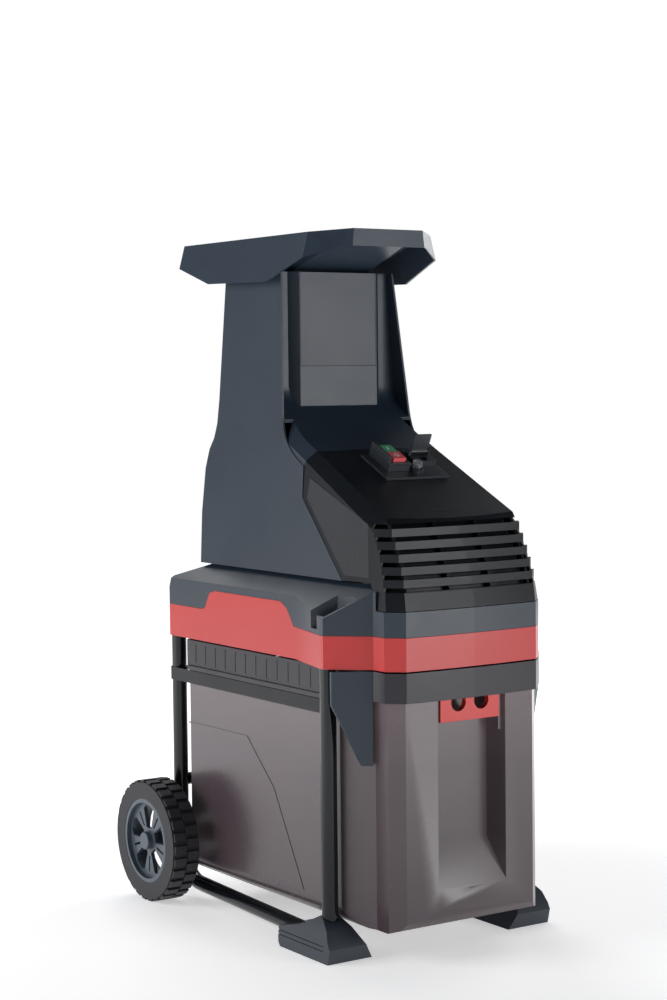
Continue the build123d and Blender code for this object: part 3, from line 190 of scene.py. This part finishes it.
def plastic(name, code, rough=0.42, grain=900.0, grain_depth=0.12 * MM, spread=0.06, wear_and_highlight=0.25, metal=0.0,
            specular=0.5, coat=0.0):
    """Moulded plastic, paint or metal: tone drift, fine grain, edges lightened partly as wear and partly as a
    painted highlight, uneven gloss.
    """
    mat, nodes, links, shader = new_material(name)
    colour = rgb(code)
    coord = nodes.new("ShaderNodeTexCoord").outputs["Object"]
    tone = noise(nodes, links, coord, TONE_SCALE)
    base = ramp(nodes, links, tone, [(0.3, shade(colour, 1 - spread)), (0.7, shade(colour, 1 + spread))])
    speck = noise(nodes, links, coord, SPECK_SCALE, 2.0)
    fleck = ramp(nodes, links, speck, [(0.35, shade(colour, 0.9)), (0.65, shade(colour, 1.1))])
    base = mix(nodes, links, remap(nodes, links, tone, 0.25, 0.45), base, fleck)
    # Sharp edges lightened: partly wear, partly a painted highlight along the rims.
    edges = nodes.new("ShaderNodeNewGeometry").outputs["Pointiness"]
    worn_and_highlit = remap(nodes, links, edges, 0.0, wear_and_highlight, WEAR_HIGHLIGHT_START, WEAR_HIGHLIGHT_FULL)
    links.new(mix(nodes, links, worn_and_highlit, base, shade(colour, 1.9)), shader.inputs["Base Color"])
    patches = noise(nodes, links, coord, GLOSS_SCALE, 5.0, 0.6)
    gloss = remap(nodes, links, patches, rough - GLOSS_SWING, rough + GLOSS_SWING)
    links.new(gloss, shader.inputs["Roughness"])
    bump(nodes, links, shader, noise(nodes, links, coord, grain, 2.0, 0.6), 0.55, grain_depth)
    put(shader, {"Metallic": metal, "Specular IOR Level": specular})
    put(shader, {"Coat Weight": coat, "Coat Roughness": 0.15})
    return mat


def smoky(name, top_code, low_code, z_low, z_high):
    """Smoke-tinted plastic: lighter towards the rim, faint flow lines, glossy surface."""
    mat, nodes, links, shader = new_material(name)
    top, low = rgb(top_code), rgb(low_code)
    coord = nodes.new("ShaderNodeTexCoord").outputs["Object"]
    split = nodes.new("ShaderNodeSeparateXYZ")
    links.new(coord, split.inputs[0])
    height = remap(nodes, links, split.outputs["Z"], 0.0, 1.0, z_low, z_high)
    base = ramp(nodes, links, height, [(0.0, low), (0.65, shade(low, 1.25)), (1.0, top)])
    stretch = nodes.new("ShaderNodeMapping")
    put(stretch, {"Scale": (9.0, 9.0, 60.0)})
    links.new(coord, stretch.inputs["Vector"])
    flow = noise(nodes, links, stretch.outputs["Vector"], 1.0, 4.0)
    cloud = noise(nodes, links, coord, 6.0)
    base = mix(nodes, links, remap(nodes, links, flow, 0.0, 0.35), base, shade(low, 0.7))
    base = mix(nodes, links, remap(nodes, links, cloud, 0.0, 0.3), base, shade(top, 1.1))
    links.new(base, shader.inputs["Base Color"])
    links.new(remap(nodes, links, cloud, 0.22, 0.36), shader.inputs["Roughness"])
    bump(nodes, links, shader, flow, 0.25, 0.15 * MM)
    put(shader, {"Coat Weight": 0.25, "Coat Roughness": 0.2})
    return mat


def clear(name):
    """Clear flexible plastic with faint cloudiness."""
    mat, nodes, links, shader = new_material(name)
    coord = nodes.new("ShaderNodeTexCoord").outputs["Object"]
    cloud = noise(nodes, links, coord, 160.0)
    tint = ramp(nodes, links, cloud, [(0.3, rgb("C9CDD2")), (0.7, rgb("F2F4F6"))])
    links.new(tint, shader.inputs["Base Color"])
    links.new(remap(nodes, links, cloud, 0.05, 0.16), shader.inputs["Roughness"])
    put(shader, {"Transmission Weight": 0.85, "IOR": 1.45})
    return mat


FINISHES = {
    "slate_plastic": dict(code="1E2935", rough=0.38),
    "panel_plastic": dict(code="2E333C", rough=0.42),
    "black_plastic": dict(code="0C1015", rough=0.34, specular=0.26),
    "rim_plastic": dict(code="211F26", rough=0.36, specular=0.4),
    "red_plastic": dict(code="B32C2B", rough=0.34, spread=0.03, wear_and_highlight=0.1),
    "lock_red": dict(code="BE2E29", rough=0.34, spread=0.03, wear_and_highlight=0.1),
    "frame_paint": dict(code="0B0E12", rough=0.16, grain=300.0, grain_depth=0.04 * MM, specular=0.3,
                        coat=0.12),
    "rail_paint": dict(code="0B0D11", rough=0.30, grain=500.0, grain_depth=0.06 * MM, specular=0.22),
    "foot_plastic": dict(code="252B34", rough=0.44),
    "tyre": dict(code="323236", rough=0.62, grain=700.0, grain_depth=0.2 * MM, specular=0.35),
    "hub_plastic": dict(code="434D57", rough=0.36),
    "steel": dict(code="B9BCC2", rough=0.28, grain=260.0, grain_depth=0.03 * MM, metal=1.0),
    "dark_steel": dict(code="6A6B70", rough=0.38, grain=260.0, metal=1.0),
    "cast": dict(code="A6A8AC", rough=0.48, grain=500.0, grain_depth=0.2 * MM, metal=0.9),
    "laminations": dict(code="6E6459", rough=0.45, grain=300.0, metal=0.6),
    "white_plastic": dict(code="D8D8D4", rough=0.4, spread=0.02),
    "control_plastic": dict(code="202429", rough=0.30),
    "button_green": dict(code="3A9464", rough=0.28, spread=0.03, coat=0.3),
    "button_red": dict(code="CF4A4F", rough=0.28, spread=0.03, coat=0.3),
}
MAT = {name: plastic(name, **finish) for name, finish in FINISHES.items()}
MAT["smoke_plastic"] = smoky("smoke_plastic", "645659", "3D3338", 0.05, 0.36)
MAT["side_smoke"] = smoky("side_smoke", "2A2A2F", "1C1C20", 0.50, 0.64)
MAT["clear_plastic"] = clear("clear_plastic")

for node, obj in frame["nodes"].items():
    obj.data.materials.clear()
    obj.data.materials.append(MAT[slot_of(node)])


# ---- stage, light, camera -------------------------------------------------------------------------
FLOOR_R = 6.0
GLOW_START, GLOW_FULL = 0.5, 1.9
GLOW_INSIDE, GLOW_OUTSIDE = 0.45, 1.0
WORLD_LIGHT = 0.62
# name, place, target, side, watts
LAMPS = (
    ("left_box", (-3.0, 1.0, 1.2), (0, 0, 0.5), 2.2, 72),
    ("front_box", (1.5, -3.4, 0.6), (0, -0.1, 0.45), 1.8, 58),
    ("right_box", (3.0, 0.9, 1.4), (0, 0, 0.5), 2.0, 38),
    ("back_top_box", (0.6, 2.2, 2.6), (0, 0, 0.8), 1.6, 34),
)
CAMERA_AZIMUTH = math.radians(-33.8)
CAMERA_PITCH = math.radians(3.3)
CAMERA_ROLL = math.radians(-0.6)
CAMERA_PLACE = Vector((-1.6692, -2.4676, 0.7675))
CAMERA_LENS = 74.7
CAMERA_SENSOR = 36.0


def build_stage():
    """Pale round floor, faintly mottled, that brightens outwards to meet the white surround."""
    mat, nodes, links, shader = new_material("floor_paint")
    coord = nodes.new("ShaderNodeTexCoord").outputs["Object"]
    mottle = noise(nodes, links, coord, 1.2, 2.0)
    paint = ramp(nodes, links, mottle, [(0.3, rgb("F4F4F5")), (0.7, rgb("FAFAFA"))])
    links.new(paint, shader.inputs["Base Color"])
    put(shader, {"Roughness": 0.8, "Specular IOR Level": 0.2, "Emission Color": WHITE})
    distance = nodes.new("ShaderNodeVectorMath")
    distance.operation = "LENGTH"
    links.new(coord, distance.inputs[0])
    glow = remap(nodes, links, distance.outputs["Value"], GLOW_INSIDE, GLOW_OUTSIDE, GLOW_START, GLOW_FULL,
                 "SMOOTHSTEP")
    links.new(glow, shader.inputs["Emission Strength"])
    bm = bmesh.new()
    bmesh.ops.create_circle(bm, cap_ends=True, segments=96, radius=FLOOR_R)
    add_object("floor", bm, mat)


def build_lamps():
    """Soft boxes on both sides, one low in front on the right, and one behind, each aimed at the machine."""
    for name, place, target, side, watts in LAMPS:
        light = bpy.data.lights.new(name, "AREA")
        light.size = side
        light.energy = watts
        lamp = bpy.data.objects.new(name, light)
        lamp.location = place
        lamp.rotation_euler = (Vector(target) - Vector(place)).to_track_quat("-Z", "Y").to_euler()
        bpy.context.scene.collection.objects.link(lamp)


def build_world():
    """White surround behind the machine; its light comes from the horizon, not from overhead."""
    world = bpy.data.worlds.new("surround")
    bpy.context.scene.world = world
    world.use_nodes = True
    nodes, links = world.node_tree.nodes, world.node_tree.links
    nodes.clear()
    split = nodes.new("ShaderNodeSeparateXYZ")
    links.new(nodes.new("ShaderNodeTexCoord").outputs["Generated"], split.inputs[0])
    sky = [(0.0, rgb("B4B8BE")), (0.35, rgb("7D8288")), (0.8, rgb("4A4E54"))]
    glow = nodes.new("ShaderNodeBackground")
    put(glow, {"Strength": WORLD_LIGHT})
    links.new(ramp(nodes, links, split.outputs["Z"], sky), glow.inputs["Color"])
    white = nodes.new("ShaderNodeBackground")
    put(white, {"Color": WHITE})
    choice = nodes.new("ShaderNodeMixShader")
    links.new(nodes.new("ShaderNodeLightPath").outputs["Is Camera Ray"], choice.inputs[0])
    links.new(glow.outputs[0], choice.inputs[1])
    links.new(white.outputs[0], choice.inputs[2])
    links.new(choice.outputs[0], nodes.new("ShaderNodeOutputWorld").inputs[0])


def build_camera():
    """Camera at the height of the tower, to the left of the front."""
    level = Vector((math.sin(CAMERA_AZIMUTH), -math.cos(CAMERA_AZIMUTH), 0))
    back = level * math.cos(CAMERA_PITCH) + UP * math.sin(CAMERA_PITCH)
    right = UP.cross(back).normalized()
    up = back.cross(right)
    c, s = math.cos(CAMERA_ROLL), math.sin(CAMERA_ROLL)
    right, up = right * c + up * s, up * c - right * s
    data = bpy.data.cameras.new("camera")
    data.lens = CAMERA_LENS
    data.sensor_width = CAMERA_SENSOR
    camera = bpy.data.objects.new("camera", data)
    camera.matrix_world = Matrix.Translation(CAMERA_PLACE) @ Matrix((right, up, back)).transposed().to_4x4()
    bpy.context.scene.collection.objects.link(camera)
    bpy.context.scene.camera = camera


build_stage()
build_lamps()
build_world()
build_camera()
bpy.context.scene.view_settings.view_transform = "Standard"


# ---- pieces beyond the CAD shapes -----------------------------------------------------------------
# Painted shade: the dark sheet behind the louvres stands in for the shade inside the cover.
# Share of the nose's half width, and depth behind the nose.
SHADE_SHEET_PLAN = ((1.0, 52 * MM), (1.0, 34 * MM), (0.86, 18 * MM), (0.45, 14.5 * MM), (0.0, 13.5 * MM))
SHADE_SHEET_START = 6 * MM
SHADE_SHEET_HEIGHT = 118 * MM
SHADE_SHEET_INSET = 13 * MM
SHADE_SHEET_TAPER = 10 * MM
SHADE_SHEET_SETBACK = 46 * MM
SHADE_SHEET_CURVE = 1.6
SHADE_SHEET_STEPS = 8

KEY_TOP_DEPTH = 0.1 * MM
MARK_RISE = 0.15 * MM
MARK_SINK = 0.1 * MM
ON_WIDTH = 1.8 * MM
ON_LENGTH = 7.2 * MM
OFF_INNER_R = 2.6 * MM
OFF_OUTER_R = 4.0 * MM
OFF_STEPS = 32

RIDGE_SINK = 0.3 * MM
# Corners of the line on the box's side: in from the back of the box, and up from its floor.
SIDE_LINE = ((10 * MM, 221 * MM), (174 * MM, 222 * MM), (244 * MM, 159 * MM), (318 * MM, 30 * MM))
SIDE_LINE_WIDTH = 2.2 * MM
SIDE_LINE_RISE = 0.7 * MM
RIB_START = 141 * MM
RIB_PITCH = 28 * MM
RIB_COUNT = 13
RIB_FOOT = 33 * MM
RIB_TOP = 5 * MM
RIB_WIDTH = 1.6 * MM
RIB_RISE = 0.5 * MM
RIM_PROUD = 2 * MM


def strip_box(bm, corners, low, high):
    """Prism between two offsets of a polygon, offsets given as vectors."""
    lower = [bm.verts.new(Vector(c) + Vector(low)) for c in corners]
    upper = [bm.verts.new(Vector(c) + Vector(high)) for c in corners]
    bm.faces.new(lower[::-1])
    bm.faces.new(upper)
    count = len(corners)
    for i in range(count):
        bm.faces.new((lower[i], lower[(i + 1) % count], upper[(i + 1) % count], upper[i]))


def ridge(bm, start, end, side_x, width, rise):
    """Thin raised line on an upright side face, from start to end given as (y, z)."""
    a, b = Vector(start), Vector(end)
    half = Vector((-(b - a).y, (b - a).x)).normalized() * width / 2
    out = math.copysign(1.0, side_x)
    ring = [(side_x, p.x, p.y) for p in (a + half, a - half, b - half, b + half)]
    strip_box(bm, ring, ACROSS * -RIDGE_SINK * out, ACROSS * rise * out)


def louvre_shade_sheet():
    """Painted shade: a dark sheet behind the louvres, standing in for the shade inside the cover, following
    the lean of the nose.
    """
    low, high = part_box("motor_cover")
    plan = SHADE_SHEET_PLAN + tuple((-share, depth) for share, depth in reversed(SHADE_SHEET_PLAN[:-1]))
    bm = bmesh.new()
    rows = []
    for k in range(SHADE_SHEET_STEPS + 1):
        lean = k / SHADE_SHEET_STEPS
        half_width = high[0] - SHADE_SHEET_INSET - SHADE_SHEET_TAPER * lean
        y = low[1] + SHADE_SHEET_SETBACK * lean ** SHADE_SHEET_CURVE
        z = low[2] + SHADE_SHEET_START + SHADE_SHEET_HEIGHT * lean
        rows.append([bm.verts.new((share * half_width, y + depth, z)) for share, depth in plan])
    for a, b in zip(rows, rows[1:]):
        for i in range(len(plan) - 1):
            bm.faces.new((a[i], a[i + 1], b[i + 1], b[i]))
    add_piece("louvre_shade_sheet", bm, "motor_cover", "black_plastic")


def key_top(node, joint):
    """Middle of a key's top face, the direction along the slope and the direction out of it."""
    axis = next(j["axis"] for j in frame["record"]["behaviour"]["joints"] if j["name"] == joint)
    out = -Vector(axis).normalized()
    points = [v.co for v in frame["nodes"][node].data.vertices]
    level = max(p.dot(out) for p in points)
    face = [p for p in points if p.dot(out) > level - KEY_TOP_DEPTH]
    middle = Vector([(min(p[i] for p in face) + max(p[i] for p in face)) / 2 for i in range(3)])
    return middle, out.cross(ACROSS).normalized(), out


def on_mark():
    """Plain bar on the start key."""
    middle, along, out = key_top("start_button", "start_press")
    bm = bmesh.new()
    ring = [middle + ACROSS * ON_WIDTH / 2 * i + along * ON_LENGTH / 2 * j
            for i, j in ((-1, -1), (1, -1), (1, 1), (-1, 1))]
    strip_box(bm, ring, out * -MARK_SINK, out * MARK_RISE)
    add_piece("on_mark", bm, "start_button", "white_plastic")


def off_mark():
    """Plain ring on the stop key."""
    middle, along, out = key_top("stop_button", "stop_press")
    bm = bmesh.new()
    for k in range(OFF_STEPS):
        a, b = (math.tau * (k + d) / OFF_STEPS for d in (0, 1))
        ring = [middle + (ACROSS * math.cos(t) + along * math.sin(t)) * r
                for t, r in ((a, OFF_INNER_R), (b, OFF_INNER_R), (b, OFF_OUTER_R), (a, OFF_OUTER_R))]
        strip_box(bm, ring, out * -MARK_SINK, out * MARK_RISE)
    add_piece("off_mark", bm, "stop_button", "white_plastic")


def box_side_lines():
    """Raised line on both sides of the collection box."""
    low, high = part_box("collection_box")
    path = [(high[1] - back, low[2] + rise) for back, rise in SIDE_LINE]
    bm = bmesh.new()
    for side_x in (low[0], high[0]):
        for a, b in zip(path, path[1:]):
            ridge(bm, a, b, side_x, SIDE_LINE_WIDTH, SIDE_LINE_RISE)
    add_piece("box_side_lines", bm, "collection_box", "smoke_plastic")


def rim_ribs():
    """Fine upright ribs on both sides of the box's rim band."""
    low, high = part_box("box_rim")
    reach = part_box("collection_box")[1][0] + RIM_PROUD
    bm = bmesh.new()
    for side_x in (-reach, reach):
        for k in range(RIB_COUNT):
            y = low[1] + RIB_START + RIB_PITCH * k
            ridge(bm, (y, high[2] - RIB_FOOT), (y, high[2] - RIB_TOP), side_x, RIB_WIDTH, RIB_RISE)
    add_piece("rim_ribs", bm, "box_rim", "rim_plastic")


louvre_shade_sheet()
on_mark()
off_mark()
box_side_lines()
rim_ribs()


# ---- CAD shapes with rounded edges ----------------------------------------------------------------
SAME_POINT = 0.002 * MM
FLAT_ANGLE = math.radians(1)
CREASE_ANGLE = math.radians(28)
SMOOTH_ANGLE = math.radians(35)
# Width of the rounded edge of each node, mm.
SOFT_EDGES = {
    "hopper": 1.2, "tower_shell": 1.2, "front_panel_upper": 0.5, "housing_base": 1.0, "housing_upper": 1.5,
    "motor_cover": 0.7, "collection_box": 1.5, "box_rim": 0.8, "foot_left": 2.0, "foot_right": 2.0,
    "box_lock": 0.8, "box_wing_left": 0.8, "box_wing_right": 0.8, "switch_box": 0.8, "switch_plate": 0.8,
    "inlet_socket": 0.6, "start_button": 0.8, "stop_button": 0.8, "inlet_flap": 0.4, "tyre_left": 0.7,
    "tyre_right": 0.7, "wheel_hub_left": 0.8, "wheel_hub_right": 0.8, "adjusting_knob": 0.8,
}


def soften(node, width):
    """A finished copy of a CAD node, which it replaces: clean faces, rounded edges, even shading."""
    bm = bmesh.new()
    bm.from_mesh(frame["nodes"][node].data)
    bmesh.ops.remove_doubles(bm, verts=bm.verts, dist=SAME_POINT)
    bmesh.ops.dissolve_limit(bm, angle_limit=FLAT_ANGLE, verts=bm.verts, edges=bm.edges,
                             use_dissolve_boundaries=False)
    edges = [e for e in bm.edges if len(e.link_faces) == 2 and e.calc_face_angle(0.0) > CREASE_ANGLE]
    bmesh.ops.bevel(bm, geom=edges, offset=width, offset_type="OFFSET", segments=2, profile=0.6,
                    affect="EDGES", clamp_overlap=True)
    for face in bm.faces:
        face.smooth = True
    for edge in bm.edges:
        edge.smooth = len(edge.link_faces) == 2 and edge.calc_face_angle(math.pi) < SMOOTH_ANGLE
    piece = add_piece(node + "_shell", bm, node, slot_of(node))
    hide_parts(node)
    shading = piece.modifiers.new("weighted", "WEIGHTED_NORMAL")
    shading.keep_sharp = True
    shading.weight = 60


for node, width in SOFT_EDGES.items():
    soften(node, width * MM)
